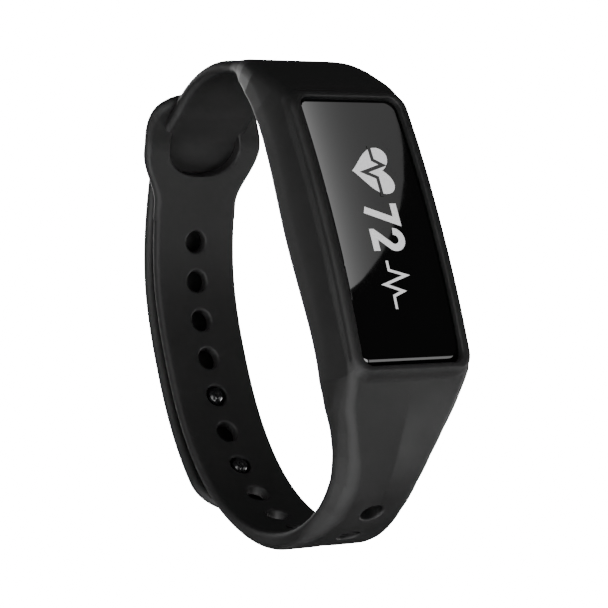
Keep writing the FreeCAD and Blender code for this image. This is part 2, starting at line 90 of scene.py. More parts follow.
# points of the smooth closed curve through the knots
def closedSpline(knots, perSpan=160):
    count = len(knots)
    spans = np.linalg.norm(np.roll(knots, -1, 0) - knots, axis=1)
    system = np.zeros((count, count))
    slopes = (np.roll(knots, -1, 0) - knots) / spans[:, None]
    for i in range(count):
        system[i, i - 1] = spans[i - 1]
        system[i, i] = 2 * (spans[i - 1] + spans[i])
        system[i, (i + 1) % count] = spans[i]
    bends = np.linalg.solve(system, 6 * (slopes - np.roll(slopes, 1, 0)))
    drawn = []
    for i in range(count):
        j, h = (i + 1) % count, spans[i]
        t = np.linspace(0, h, perSpan, endpoint=False)[:, None]
        drawn.append(bends[i] * (h - t) ** 3 / (6 * h) + bends[j] * t ** 3 / (6 * h)
                     + (knots[i] / h - bends[i] * h / 6) * (h - t) + (knots[j] / h - bends[j] * h / 6) * t)
    return np.concatenate(drawn)


# points of a smooth open curve through the knots
def openSpline(knots, count=120):
    knots = np.asarray(knots, float)
    marks = np.concatenate([[0], np.cumsum(np.linalg.norm(np.diff(knots, axis=0), axis=1))])
    spans = np.diff(marks)
    last = len(knots) - 1
    system = np.eye(last + 1)
    right = np.zeros_like(knots)
    for i in range(1, last):
        system[i, i - 1:i + 2] = spans[i - 1], 2 * (spans[i - 1] + spans[i]), spans[i]
        right[i] = 6 * ((knots[i + 1] - knots[i]) / spans[i] - (knots[i] - knots[i - 1]) / spans[i - 1])
    bends = np.linalg.solve(system, right)
    at = np.linspace(0, marks[-1], count)
    i = np.clip(np.searchsorted(marks, at, side="right") - 1, 0, last - 1)
    h, t = spans[i][:, None], (at - marks[i])[:, None]
    return (bends[i] * (h - t) ** 3 / (6 * h) + bends[i + 1] * t ** 3 / (6 * h)
            + (knots[i] / h - bends[i] * h / 6) * (h - t) + (knots[i + 1] / h - bends[i + 1] * h / 6) * t)


rawLoop = closedSpline(loopKnots)
ringed = np.vstack([rawLoop, rawLoop[:1]])
runs = np.concatenate([[0], np.cumsum(np.linalg.norm(np.diff(ringed, axis=0), axis=1))])
loopLength = runs[-1]
loopStops = np.linspace(0, loopLength, 3730, endpoint=False)
loopLine = np.stack([np.interp(loopStops, runs, ringed[:, k]) for k in (0, 1)], 1)
ahead = np.roll(loopLine, -1, 0) - np.roll(loopLine, 1, 0)
ahead /= np.linalg.norm(ahead, axis=1)[:, None]
outwardLine = np.stack([ahead[:, 1], -ahead[:, 0]], 1)
loopStep = loopLength / len(loopStops)
turning = np.unwrap(np.arctan2(ahead[:, 1], ahead[:, 0]))
curving = np.abs(np.gradient(turning, loopStep))
print("wrist line", round(loopLength, 2), "mm round")


# points in the side plane at a place along the wrist line, lifted off it
def onLoop(place, lift):
    place = np.mod(place, loopLength)
    at = np.append(loopStops, loopLength)
    base = [np.interp(place, at, np.append(loopLine[:, k], loopLine[0, k])) for k in (0, 1)]
    out = [np.interp(place, at, np.append(outwardLine[:, k], outwardLine[0, k])) for k in (0, 1)]
    return np.stack([base[0] + out[0] * lift, base[1] + out[1] * lift], 1)


# The band's outer line, seen from the side: strap, chin, rim and shoulder.
carrier = {
    "chin": [(31.0, -22.5), (29.9, -23.9), (26.9, -27.6), (23.4, -31.0), (19.2, -34.0), (14.2, -36.7)],
    "crown": [(31.0, 20.1), (31.8, 12.0), (32.25, -1.2), (31.8, -14.0), (31.0, -22.5)],
    "shoulder": [(11.4, 35.0), (13.8, 33.9), (19.2, 31.1), (24.0, 27.9), (27.7, 24.6), (29.9, 21.9),
                 (31.0, 20.1)],
    "strapFrom": 63.2,
    "bottomExtra": 0.77,
    "swellFrom": 120.5,
    "swellOver": 18.1,
    "chinFrom": loopLength - 50,
    "topTo": loopLength + 34.5,
}
lowerPlaces = np.linspace(carrier["strapFrom"] - 4, carrier["chinFrom"], 700)
swell = np.clip((lowerPlaces - carrier["swellFrom"]) / carrier["swellOver"], 0, 1)
bottomLift = fit["strapThick"] + carrier["bottomExtra"] * swell ** 2 * (3 - 2 * swell)
strapOuter = onLoop(lowerPlaces, bottomLift)
chinStart = onLoop(np.array([carrier["chinFrom"] - 1.0, carrier["chinFrom"]]), bottomLift[-1])
chinLine = openSpline([*chinStart, *reversed(carrier["chin"])], 220)
crownLine = openSpline(list(reversed(carrier["crown"])), 160)
shoulderLine = openSpline(list(reversed(carrier["shoulder"])), 160)
outerLine = np.vstack([strapOuter[:-20], chinLine, crownLine, shoulderLine])

# A table of the side plane: place along the wrist line, distance from it, and distance from the outer line.
tableStep = 0.2
tableX = np.arange(-34.0, 37.0, tableStep)
tableZ = np.arange(-42.0, 42.0, tableStep)


def treeOf(points):
    tree = kdtree.KDTree(len(points))
    for number, (x, z) in enumerate(points):
        tree.insert((x, z, 0), number)
    tree.balance()
    return tree


# distance to a line of points, given the nearest point of it
def nearest(points, line, near):
    best = np.full(len(points), np.inf)
    for side in (-1, 0):
        a = np.clip(near + side, 0, len(line) - 2)
        run = line[a + 1] - line[a]
        share = np.clip(((points - line[a]) * run).sum(1) / np.maximum((run * run).sum(1), 1e-12), 0, 1)
        far = np.linalg.norm(points - line[a] - run * share[:, None], axis=1)
        best = np.minimum(best, far)
    return best


gridX, gridZ = np.meshgrid(tableX, tableZ, indexing="ij")
flatPoints = np.stack([gridX.ravel(), gridZ.ravel()], 1)
loopTree, outerTree = treeOf(loopLine), treeOf(outerLine)
nearLoop = np.array([loopTree.find((x, z, 0))[1] for x, z in flatPoints])
nearOuter = np.array([outerTree.find((x, z, 0))[1] for x, z in flatPoints])
offset = flatPoints - loopLine[nearLoop]
liftTable = (offset * outwardLine[nearLoop]).sum(1)
slide = (offset * ahead[nearLoop]).sum(1) / (1 + liftTable * curving[nearLoop])
placeTable = loopStops[nearLoop] + slide
placeTable = np.where(placeTable < 50, placeTable + loopLength, placeTable)
farOuter = nearest(flatPoints, outerLine, nearOuter)

# the outer line's own lift at each place tells inside from outside
nearOnLoop = np.array([loopTree.find((x, z, 0))[1] for x, z in outerLine])
outerPlace = loopStops[nearOnLoop]
outerPlace = np.where(outerPlace < 50, outerPlace + loopLength, outerPlace)
outerLift = ((outerLine - loopLine[nearOnLoop]) * outwardLine[nearOnLoop]).sum(1)
order = np.argsort(outerPlace)
outerPlace, outerLift = outerPlace[order], outerLift[order]
beyond = liftTable - np.interp(placeTable, outerPlace, outerLift)
outerTable = np.sign(beyond) * farOuter
tables = {"place": placeTable, "lift": liftTable, "outer": outerTable}
tables = {name: values.reshape(gridX.shape) for name, values in tables.items()}
print("side tables ready", gridX.shape)


# reads a table between its points
def look(name, x, z):
    fx = np.clip((x - tableX[0]) / tableStep, 0, len(tableX) - 1.001)
    fz = np.clip((z - tableZ[0]) / tableStep, 0, len(tableZ) - 1.001)
    i, k = fx.astype(int), fz.astype(int)
    u, v = fx - i, fz - k
    t = tables[name]
    a, b, c, d = t[i, k], t[i + 1, k], t[i, k + 1], t[i + 1, k + 1]
    if name == "place":  # it starts again at one line, where the near side's value holds
        b, c, d = [np.where(np.abs(q - a) > 20, a, q) for q in (b, c, d)]
    return (a * (1 - u) + b * u) * (1 - v) + (c * (1 - u) + d * u) * v


# Ways of joining solids, each given as a distance that is negative inside.
def bothRound(a, b, radius):
    corner = np.hypot(np.maximum(a + radius, 0), np.maximum(b + radius, 0))
    return np.minimum(np.maximum(a, b), -radius) + corner


def eitherRound(a, b, radius):
    corner = np.hypot(np.maximum(radius - a, 0), np.maximum(radius - b, 0))
    return np.maximum(np.minimum(a, b), radius) - corner


# distance from a rounded rectangle
def roundedPlate(u, v, halfU, halfV, corner):
    a, b = np.abs(u) - halfU + corner, np.abs(v) - halfV + corner
    return np.hypot(np.maximum(a, 0), np.maximum(b, 0)) + np.minimum(np.maximum(a, b), 0) - corner


def ease(value, low, high):
    step = np.clip((value - low) / (high - low), 0, 1)
    return step * step * (3 - 2 * step)


# a smooth mesh over the surface where the field is nought
def skin(name, field, low, high, step, relax=3):
    axes = [np.arange(a, b + step, step) for a, b in zip(low, high)]
    corners = np.stack(np.meshgrid(*axes, indexing="ij"), -1)
    shape = corners.shape[:3]
    values = field(corners.reshape(-1, 3)).reshape(shape)
    inside = values < 0
    cells = tuple(n - 1 for n in shape)
    filled = np.zeros(cells, int)
    for dx in (0, 1):
        for dy in (0, 1):
            for dz in (0, 1):
                filled += inside[dx:dx + cells[0], dy:dy + cells[1], dz:dz + cells[2]]
    active = (filled > 0) & (filled < 8)
    number = np.full(cells, -1)
    number[active] = np.arange(active.sum())
    where = np.argwhere(active)
    total, hits = np.zeros((len(where), 3)), np.zeros(len(where))
    for axis in range(3):
        others = [k for k in range(3) if k != axis]
        for da in (0, 1):
            for db in (0, 1):
                start = where.copy()
                start[:, others[0]] += da
                start[:, others[1]] += db
                end = start.copy()
                end[:, axis] += 1
                a, b = values[tuple(start.T)], values[tuple(end.T)]
                cross = (a < 0) != (b < 0)
                share = np.where(cross, a / np.where(cross, a - b, 1), 0)
                point = start.astype(float)
                point[:, axis] += share
                total[cross] += point[cross]
                hits[cross] += 1
    points = np.array(low) + total / hits[:, None] * step
    quads = []
    for axis in range(3):
        a, b = [k for k in range(3) if k != axis]
        if axis == 1:
            a, b = b, a
        first = [slice(None)] * 3
        first[axis] = slice(0, -1)
        second = [slice(None)] * 3
        second[axis] = slice(1, None)
        change = inside[tuple(first)] != inside[tuple(second)]
        at = np.argwhere(change)
        keep = (at[:, a] > 0) & (at[:, b] > 0) & (at[:, a] < cells[a]) & (at[:, b] < cells[b])
        at = at[keep]
        begins = inside[tuple(at.T)]
        square = []
        for da, db in ((-1, -1), (0, -1), (0, 0), (-1, 0)):
            cell = at.copy()
            cell[:, a] += da
            cell[:, b] += db
            square.append(number[tuple(cell.T)])
        square = np.stack(square, 1)
        square[~begins] = square[~begins][:, ::-1]
        quads.append(square)
    quads = np.concatenate(quads)

    def slopeAt(where):
        h = 0.04
        parts = []
        for axis in range(3):
            shift = np.zeros(3)
            shift[axis] = h
            parts.append(field(where + shift) - field(where - shift))
        return np.stack(parts, 1) / (2 * h)

    edges = np.concatenate([quads[:, [0, 1]], quads[:, [1, 2]], quads[:, [2, 3]], quads[:, [3, 0]]])
    for turn in range(relax + 1):
        for _ in range(2):
            slope = slopeAt(points)
            steep = np.maximum((slope ** 2).sum(1), 0.05)
            move = slope * (field(points) / steep)[:, None]
            far = np.linalg.norm(move, axis=1)
            points = points - move * np.minimum(1, 0.6 * step / np.maximum(far, 1e-9))[:, None]
        if turn < relax:
            sums = np.zeros_like(points)
            count = np.zeros(len(points))
            for k in (0, 1):
                np.add.at(sums, edges[:, k], points[edges[:, 1 - k]])
                np.add.at(count, edges[:, k], 1)
            points = points * 0.45 + sums / count[:, None] * 0.55
    normals = slopeAt(points)
    normals /= np.linalg.norm(normals, axis=1)[:, None]
    return meshOf(name, toFrame(points), quads.tolist(), toFrame(normals) * 1000)


def meshOf(name, points, faces, normals=None):
    mesh = bpy.data.meshes.new(name)
    mesh.from_pydata([tuple(p) for p in points], [], faces)
    mesh.update()
    mesh.polygons.foreach_set("use_smooth", [True] * len(mesh.polygons))
    if normals is not None:
        mesh.normals_split_custom_set_from_vertices([tuple(n) for n in normals])
    item = bpy.data.objects.new(name, mesh)
    bpy.context.scene.collection.objects.link(item)
    print(name, len(mesh.vertices), "points")
    return item


# Finishes.
# a material with a Principled shader, its nodes and links at hand
def finishOf(name, **settings):
    material = bpy.data.materials.new(name)
    material.use_nodes = True
    shader = material.node_tree.nodes["Principled BSDF"]
    for socket, value in settings.items():
        shader.inputs[socket.replace("_", " ")].default_value = value
    return material, shader, material.node_tree.nodes, material.node_tree.links


def grain(nodes, links, scale, detail=4.0, rough=0.55):
    place = nodes.new("ShaderNodeTexCoord")
    noise = nodes.new("ShaderNodeTexNoise")
    noise.inputs["Scale"].default_value = scale
    noise.inputs["Detail"].default_value = detail
    noise.inputs["Roughness"].default_value = rough
    links.new(place.outputs["Object"], noise.inputs["Vector"])
    return noise


# maps a 0 to 1 value to a range
def spread(nodes, links, source, low, high):
    span = nodes.new("ShaderNodeMapRange")
    span.inputs["From Min"].default_value = 0.3
    span.inputs["From Max"].default_value = 0.7
    span.inputs["To Min"].default_value = low
    span.inputs["To Max"].default_value = high
    links.new(source, span.inputs["Value"])
    return span.outputs["Result"]


def twoTone(nodes, links, source, dark, light):
    ramp = nodes.new("ShaderNodeValToRGB")
    ramp.color_ramp.elements[0].position = 0.32
    ramp.color_ramp.elements[1].position = 0.7
    ramp.color_ramp.elements[0].color = (*dark, 1)
    ramp.color_ramp.elements[1].color = (*light, 1)
    links.new(source, ramp.inputs["Fac"])
    return ramp.outputs["Color"]


def bumped(nodes, links, shader, source, strength, depth):
    bump = nodes.new("ShaderNodeBump")
    bump.inputs["Strength"].default_value = strength
    bump.inputs["Distance"].default_value = depth
    links.new(source, bump.inputs["Height"])
    links.new(bump.outputs["Normal"], shader.inputs["Normal"])


def siliconeFinish(name, dark, light):
    material, shader, nodes, links = finishOf(name, Specular_IOR_Level=0.34)
    cloud = grain(nodes, links, 140, 3)
    links.new(twoTone(nodes, links, cloud.outputs["Fac"], dark, light), shader.inputs["Base Color"])
    links.new(spread(nodes, links, cloud.outputs["Fac"], 0.55, 0.66), shader.inputs["Roughness"])
    fine = grain(nodes, links, 5200, 2)
    bumped(nodes, links, shader, fine.outputs["Fac"], 0.12, 0.00002)
    return material


def mouldedFinish(name, dark, light, roughLow, roughHigh, grainScale=2400, metal=0.0, bump=0.15):
    material, shader, nodes, links = finishOf(name, Metallic=metal)
    cloud = grain(nodes, links, grainScale * 0.12, 3)
    fine = grain(nodes, links, grainScale, 4)
    links.new(twoTone(nodes, links, cloud.outputs["Fac"], dark, light), shader.inputs["Base Color"])
    links.new(spread(nodes, links, fine.outputs["Fac"], roughLow, roughHigh), shader.inputs["Roughness"])
    bumped(nodes, links, shader, fine.outputs["Fac"], bump, 0.00003)
    return material


# solder mask with faint tracks under it
def boardFinish(name, dark, light):
    material, shader, nodes, links = finishOf(name, Coat_Weight=0.3, Coat_Roughness=0.2)
    place = nodes.new("ShaderNodeTexCoord")
    tracks = nodes.new("ShaderNodeTexBrick")
    tracks.inputs["Scale"].default_value = 620
    tracks.inputs["Mortar Size"].default_value = 0.06
    tracks.inputs["Color1"].default_value = (*dark, 1)
    tracks.inputs["Color2"].default_value = (*[v * 1.15 for v in dark], 1)
    tracks.inputs["Mortar"].default_value = (*light, 1)
    links.new(place.outputs["Object"], tracks.inputs["Vector"])
    links.new(tracks.outputs["Color"], shader.inputs["Base Color"])
    cloud = grain(nodes, links, 900)
    links.new(spread(nodes, links, cloud.outputs["Fac"], 0.32, 0.5), shader.inputs["Roughness"])
    bumped(nodes, links, shader, tracks.outputs["Fac"], 0.2, 0.00004)
    return material


def glassFinish(name):
    material, shader, nodes, links = finishOf(name, IOR=1.5, Coat_Weight=0.0)
    cloud = grain(nodes, links, 60, 2)
    links.new(twoTone(nodes, links, cloud.outputs["Fac"], (0.0012, 0.0012, 0.0013), (0.002, 0.002, 0.0021)),
              shader.inputs["Base Color"])
    smear = grain(nodes, links, 900, 3)
    links.new(spread(nodes, links, smear.outputs["Fac"], 0.018, 0.03), shader.inputs["Roughness"])
    return material


def glowFinish(name, level):
    material, shader, nodes, links = finishOf(name, Roughness=0.2, Emission_Strength=level)
    cells = grain(nodes, links, 2600, 2)
    links.new(twoTone(nodes, links, cells.outputs["Fac"], (0.74, 0.74, 0.75), (0.8, 0.8, 0.81)),
              shader.inputs["Emission Color"])
    shader.inputs["Base Color"].default_value = (0.5, 0.5, 0.5, 1)
    return material


siliconeBlack = siliconeFinish("siliconeBlack", (0.0215, 0.0215, 0.0218), (0.0265, 0.0265, 0.0268))
pegGloss = mouldedFinish("pegGloss", (0.010, 0.010, 0.011), (0.016, 0.016, 0.017), 0.16, 0.26, 1800)
lensGlass = glassFinish("lensGlass")
displayWhite = glowFinish("displayWhite", 0.86)
print("finishes ready")

# The band: carrier, lower strap with its holes, keeper ring and the upper strap's root.
holes = {"first": 73.7, "pitch": 6.3, "count": 13, "radius": 1.7, "edge": 0.38}
ring = {"at": 58.4, "halfLong": 6.95, "halfWide": 10.4, "corner": 6.6, "slotLong": 4.75, "slotWide": 6.3,
        "neck": 3.0, "reach": 12.0, "proud": 0.15}
root = {"from": 24.0, "to": 52.7}
podRoom = {"half": 8.86, "long": 21.06, "corner": 2.4, "slip": 0.06, "from": 10}
glassRoom = {"half": 8.46, "long": 20.46, "corner": 1.66, "from": 25}
rim = {"up": -0.1, "half": 10.0, "long": 21.9, "corner": 3.0, "proud": 0.0, "step": 0.75, "round": 0.9}
tail = {"from": 52.1, "end": 118.5, "bend": 82.9}


def ringLift(place):
    return (ringTuck + ring["proud"]) * (1 - ease(place, ring["at"] - 5.0, ring["at"] + 0.9))


def upperLift(place):
    rise = ringTuck * ease(place, ring["at"] - 6.3, ring["at"] + 2.6)
    return rise + (tuck - ringTuck) * ease(place, ring["at"] + 4.0, tail["bend"])


# the shell's section by place, from the lower strap over the carrier to its upper end
endOf = loopLength
sectionAt = np.array([
    # place, half width, bevel foot lift, face half width, outer rounding
    (62.0, 7.3, 0.95, 7.3, 0.93),
    (endOf - 54, 7.3, 0.95, 7.3, 0.93),
    (endOf - 47, 7.3, 0.95, 6.6, 0.9),
    (endOf - 40, 7.3, 0.8, 5.2, 1.0),
    (endOf - 35, 7.5, 0.9, 5.3, 1.0),
    (endOf - 31, 8.2, 1.0, 6.0, 1.0),
    (endOf - 27.5, 9.1, 1.5, 7.2, 0.9),
    (endOf - 24.5, 10.1, 2.7, 8.6, 1.0),
    (endOf - 21, 10.7, 4.6, 9.8, 1.2),
    (endOf - 10, 10.8, 5.6, 10.0, 1.5),
    (endOf, 10.8, 5.8, 10.0, 1.5),
    (endOf + 14, 10.8, 5.4, 10.0, 1.5),
    (endOf + 20, 10.7, 4.8, 9.9, 1.3),
    (endOf + 24.5, 10.4, 3.8, 9.6, 1.1),
    (endOf + 28, 9.6, 2.6, 8.8, 1.0),
    (endOf + 31.5, 8.1, 1.6, 7.5, 1.0),
    (endOf + 34.5, 7.3, 1.0, 7.25, 0.95),
    (endOf + 60, 7.2, 0.95, 7.2, 0.93)])


def bandField(points):
    x, y, z = points[:, 0], np.abs(points[:, 1]), points[:, 2]
    place, lift, outer = look("place", x, z), look("lift", x, z), look("outer", x, z)
    half, foot, face, rounding = [np.interp(place, sectionAt[:, 0], sectionAt[:, k]) for k in (1, 2, 3, 4)]
    top = np.interp(place, outerPlace, outerLift)

    # outer face: a shallow ridge along the middle of the chin
    ridge = 0.09 * ease(place, endOf - 44, endOf - 34) * (1 - ease(place, endOf - 25, endOf - 21))
    # the carrier's own face lies a little below the rim
    step = rim["step"] * ease(place, endOf - 34, endOf - 27) * (1 - ease(place, endOf + 22, endOf + 28))
    # near its upper end the shell sinks into the upper strap's root
    sink = ease(place, carrier["topTo"] - 5, carrier["topTo"])
    roof = outer + ridge * y + step + 0.3 * sink
    side = y - half
    # the bevel runs from the foot on the side to the edge of the outer face
    rise, inset = np.maximum(top - foot, 0.05), np.maximum(half - face, 0.001)
    steep = np.hypot(rise, inset)
    bevel = ((y - half) * rise + (lift - foot) * inset) / steep
    shell = bothRound(bothRound(0.3 * sink - lift, side, 0.9), np.maximum(bevel, -3.0), 0.5)
    shell = bothRound(shell, roof, rounding)
    shell = np.maximum(shell, carrier["strapFrom"] - place)
    shell = np.maximum(shell, place - carrier["topTo"] - 1)

    # the rim stands round the glass
    rimPlan = roundedPlate(y, z - fit["podMid"] - rim["up"], rim["half"], rim["long"], rim["corner"])
    rimSolid = bothRound(np.maximum(rimPlan, 27.0 - x), outer - rim["proud"], rim["round"])
    shell = eitherRound(shell, rimSolid, 0.45)

    # the upper strap's root
    short = np.where(place > 210, place - loopLength, place)
    rootLift = lift - upperLift(short) - fit["strapThick"] / 2
    rootSolid = bothRound(np.abs(rootLift) - fit["strapThick"] / 2, y - fit["strapHalf"], 0.93)
    rootSolid = np.maximum(rootSolid, np.maximum(root["from"] - short, short - root["to"]))
    shell = eitherRound(shell, rootSolid, 0.25)

    # pocket for the pod and the opening for the glass
    up = z - fit["podMid"]
    pocket = roundedPlate(y, up, podRoom["half"], podRoom["long"], podRoom["corner"])
    pocket = np.maximum(pocket, x - fit["shoulder"] - podRoom["slip"])
    pocket = np.maximum(pocket, podRoom["from"] - x)
    shell = bothRound(shell, -pocket, 0.2)
    opening = roundedPlate(y, up, glassRoom["half"], glassRoom["long"], glassRoom["corner"])
    opening = np.maximum(opening, glassRoom["from"] - x)
    shell = bothRound(shell, -opening, 0.3)

    # strap holes with softened mouths
    nearestHole = np.clip(np.round((place - holes["first"]) / holes["pitch"]), 0, holes["count"] - 1)
    centre = holes["first"] + nearestHole * holes["pitch"]
    bend = np.interp(centre, loopStops, curving)
    around = np.hypot((place - centre) * (1 + bend * lift), y)
    shell = bothRound(shell, holes["radius"] - around, holes["edge"])

    # keeper ring, which grows out of the lower strap
    along = place - ring["at"]
    hoop = np.abs(lift - ringLift(place) - fit["strapThick"] / 2) - fit["strapThick"] / 2
    plan = roundedPlate(along, y, ring["halfLong"], ring["halfWide"], ring["corner"])
    strapPlan = np.maximum(y - fit["strapHalf"], ring["at"] + 2 - place)
    plan = eitherRound(plan, strapPlan, ring["neck"])
    plan = np.maximum(plan, along - ring["reach"])
    slot = ((np.abs(along) / ring["slotLong"]) ** 2.2 + (y / ring["slotWide"]) ** 2.2) ** (1 / 2.2) - 1
    slot = slot * ring["slotLong"]
    hoop = bothRound(bothRound(hoop, plan, 0.93), -slot, 0.35)
    hoop = np.where(place > 110, 5.0, hoop)
    lower = np.where((place > 60) & (place < 80), np.maximum(shell, -slot), shell)
    return np.minimum(lower, hoop)


band = skin("siliconeBand", bandField, (-27.6, -12, -41), (35, 12, 39), 0.27)
band.data.materials.append(siliconeBlack)
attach(band, "band")
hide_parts("silicone_band")

# The upper strap from the ring's end bar to the tail's round end.


def tailField(points):
    x, y, z = points[:, 0], np.abs(points[:, 1]), points[:, 2]
    place, lift = look("place", x, z), look("lift", x, z)
    middle = lift - upperLift(place) - fit["strapThick"] / 2
    thick = np.abs(middle) - fit["strapThick"] / 2 + 0.02
    along = place - (tail["end"] - fit["strapHalf"])
    stretch = 1 + lift / 24.0
    plan = np.where(along > 0, np.hypot(along * stretch, y) - fit["strapHalf"], y - fit["strapHalf"])
    body = bothRound(thick, plan, 0.9)
    return np.maximum(body, tail["from"] - place)


upperStrap = skin("upperStrap", tailField, (-29, -8.4, -40), (3, 8.4, 39), 0.3)
upperStrap.data.materials.append(siliconeBlack)
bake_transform(upperStrap)
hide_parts("strap_tail")

# The bowed cover glass with softened edges.
glass = {"half": 8.4, "long": 20.4, "corner": 1.6, "edge": 30.2, "bow": 1.25, "back": 29.15, "soft": 0.4,
         "footSoft": 0.9, "footFrom": -18, "footTo": -21}


# depth of the glass's outer face at a height
def glassFace(z):
    spread = (z - fit["podMid"]) / glass["long"]
    return glass["edge"] + glass["bow"] * (1 - spread ** 2)


def glassField(points):
    x, y, z = points[:, 0], np.abs(points[:, 1]), points[:, 2]
    plan = roundedPlate(y, z - fit["podMid"], glass["half"], glass["long"], glass["corner"])
    soft = glass["soft"] + glass["footSoft"] * (1 - ease(z, glass["footTo"], glass["footFrom"]))
    return bothRound(np.maximum(plan, glass["back"] - x), x - glassFace(z), soft)


coverGlass = skin("coverGlass", glassField, (28.6, -9, -22.4), (32.2, 9, 20), 0.25)
coverGlass.data.materials.append(lensGlass)
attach(coverGlass, "pod")
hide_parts("cover_lens")

# What the display shows: a heart with a beat through it, two numerals and a small trace.
# Each is drawn flat, u along the band from its top and v across it, then laid on the glass.
face = {"lift": 0.035, "heartAt": (7.5, 0.8), "heartSize": 7.4, "numberAt": (2.3, -2.5), "numberTall": 5.6,
        "numberApart": 3.85, "stroke": 0.19, "traceAt": (-6.4, -2.0), "traceSize": 3.4,
        "traceWide": 0.12, "beatWide": 0.15}


# flat outlines, filled, cut across so that they follow the bow, and lifted off the glass
def layOnGlass(name, shapes, lift, material):
    built = bmesh.new()
    for outline in shapes:
        built.faces.new([built.verts.new((0, y, z)) for y, z in outline])
    for cut in np.arange(-21, 20, 0.5):
        everything = built.verts[:] + built.edges[:] + built.faces[:]
        bmesh.ops.bisect_plane(built, geom=everything, plane_co=(0, 0, cut), plane_no=(0, 0, 1))
    bmesh.ops.triangulate(built, faces=built.faces[:])
    points = np.array([v.co for v in built.verts])
    points[:, 0] = glassFace(points[:, 2]) + lift
    for vert, at in zip(built.verts, toFrame(points)):
        vert.co = at
    outward = Vector(toFrame([(1, 0, 0)])[0])
    for one in built.faces:
        one.normal_update()
        if one.normal.dot(outward) < 0:
            one.normal_flip()
    mesh = bpy.data.meshes.new(name)
    built.to_mesh(mesh)
    built.free()
    item = bpy.data.objects.new(name, mesh)
    bpy.context.scene.collection.objects.link(item)
    mesh.materials.append(material)
    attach(item, "pod")
    return item


# a line of even width with square ends, as one outline
def stroke(points, width):
    points = np.asarray(points, float)
    run = np.diff(points, axis=0)
    run /= np.linalg.norm(run, axis=1)[:, None]
    side = np.stack([-run[:, 1], run[:, 0]], 1)
    joint = np.vstack([side[:1], side[:-1] + side[1:], side[-1:]])
    joint /= (np.concatenate([[1], 1 + (side[:-1] * side[1:]).sum(1), [1]]))[:, None]
    return [*(points + joint * width / 2), *reversed(points - joint * width / 2)]


# the same line as separate four-sided pieces, for lines that turn back on themselves
def ribbon(points, width):
    whole = stroke(points, width)
    half = len(whole) // 2
    back = list(reversed(whole[half:]))
    return [[whole[i], whole[i + 1], back[i + 1], back[i]] for i in range(half - 1)]


# turns drawings that read upright so that they read down the band
def placed(shapes, at, size=1.0):
    return [[(at[1] + size * up, at[0] - size * right) for right, up in outline] for outline in shapes]


angles = np.linspace(0, 2 * math.pi, 72, endpoint=False)
heart = [(math.copysign(abs(math.sin(a)) ** 2.3, math.sin(a)), 0.81 * math.cos(a) - 0.31 * math.cos(2 * a)
          - 0.12 * math.cos(3 * a) - 0.05 * math.cos(4 * a) + 0.1) for a in angles]
beat = [(-1.1, 0.12), (-0.46, 0.12), (-0.24, 0.52), (0.06, -0.42), (0.3, 0.12), (1.1, 0.12)]
seven = ribbon([(0, 0.91), (0.5, 0.91), (0.17, 0)], face["stroke"])
bowl = [(0.3 + 0.22 * math.cos(a), 0.69 + 0.22 * math.sin(a)) for a in np.linspace(math.pi, -0.5, 16)]
two = ribbon([*bowl, (0.1, 0.1), (0.1, 0.095), (0.6, 0.095)], face["stroke"])
pulse = [(0, 0.35), (0.42, 0.35), (0.66, 1.15), (1.04, 0.0), (1.34, 0.85), (1.54, 0.35), (2.1, 0.35)]
heartSize = face["heartSize"] / 2
heartShape = placed([heart], face["heartAt"], heartSize)
beatShape = placed(ribbon(beat, face["beatWide"]), face["heartAt"], heartSize)
pulseShape = placed(ribbon(pulse, face["traceWide"]), face["traceAt"], face["traceSize"])
layOnGlass("heartMark", heartShape, face["lift"], displayWhite)
layOnGlass("heartBeat", beatShape, face["lift"] * 2, lensGlass)
top, low = face["numberAt"]
first = placed(seven, (top, low), face["numberTall"])
second = placed(two, (top - face["numberApart"], low), face["numberTall"])
layOnGlass("pulseNumber", first + second, face["lift"], displayWhite)
layOnGlass("pulseTrace", pulseShape, face["lift"], displayWhite)
print("display drawn")

# Finishes for the pieces carried over from the CAD.
caseBlack = mouldedFinish("caseBlack", (0.012, 0.012, 0.013), (0.02, 0.02, 0.021), 0.38, 0.52)
coverBlack = mouldedFinish("coverBlack", (0.014, 0.014, 0.015), (0.022, 0.022, 0.023), 0.3, 0.45)
sealRubber = mouldedFinish("sealRubber", (0.05, 0.052, 0.055), (0.08, 0.082, 0.085), 0.6, 0.75)
screwSteel = mouldedFinish("screwSteel", (0.42, 0.42, 0.43), (0.56, 0.56, 0.57), 0.22, 0.38, 3000, 1.0)
contactGold = mouldedFinish("contactGold", (0.72, 0.52, 0.22), (0.85, 0.64, 0.3), 0.2, 0.34, 2600, 1.0)
copperWire = mouldedFinish("copperWire", (0.55, 0.24, 0.12), (0.72, 0.34, 0.18), 0.3, 0.45, 3600, 1.0)
panelDark = mouldedFinish("panelDark", (0.01, 0.011, 0.014), (0.016, 0.018, 0.024), 0.1, 0.18)
filmClear = mouldedFinish("filmClear", (0.02, 0.022, 0.03), (0.035, 0.038, 0.05), 0.12, 0.2)
foamGrey = mouldedFinish("foamGrey", (0.06, 0.06, 0.06), (0.12, 0.12, 0.12), 0.85, 0.95, 4200, 0.0, 0.7)
flexAmber = mouldedFinish("flexAmber", (0.36, 0.16, 0.03), (0.5, 0.24, 0.05), 0.3, 0.42)
chipEpoxy = mouldedFinish("chipEpoxy", (0.016, 0.016, 0.017), (0.028, 0.028, 0.03), 0.5, 0.66, 3800)
ceramicWhite = mouldedFinish("ceramicWhite", (0.55, 0.53, 0.48), (0.68, 0.66, 0.62), 0.4, 0.55)
pouchSilver = mouldedFinish("pouchSilver", (0.5, 0.5, 0.51), (0.66, 0.66, 0.68), 0.28, 0.5, 1500, 0.85, 0.4)
tapeCream = mouldedFinish("tapeCream", (0.6, 0.54, 0.38), (0.7, 0.64, 0.48), 0.5, 0.7)
lightGreen = mouldedFinish("lightGreen", (0.3, 0.62, 0.22), (0.42, 0.74, 0.32), 0.2, 0.3)
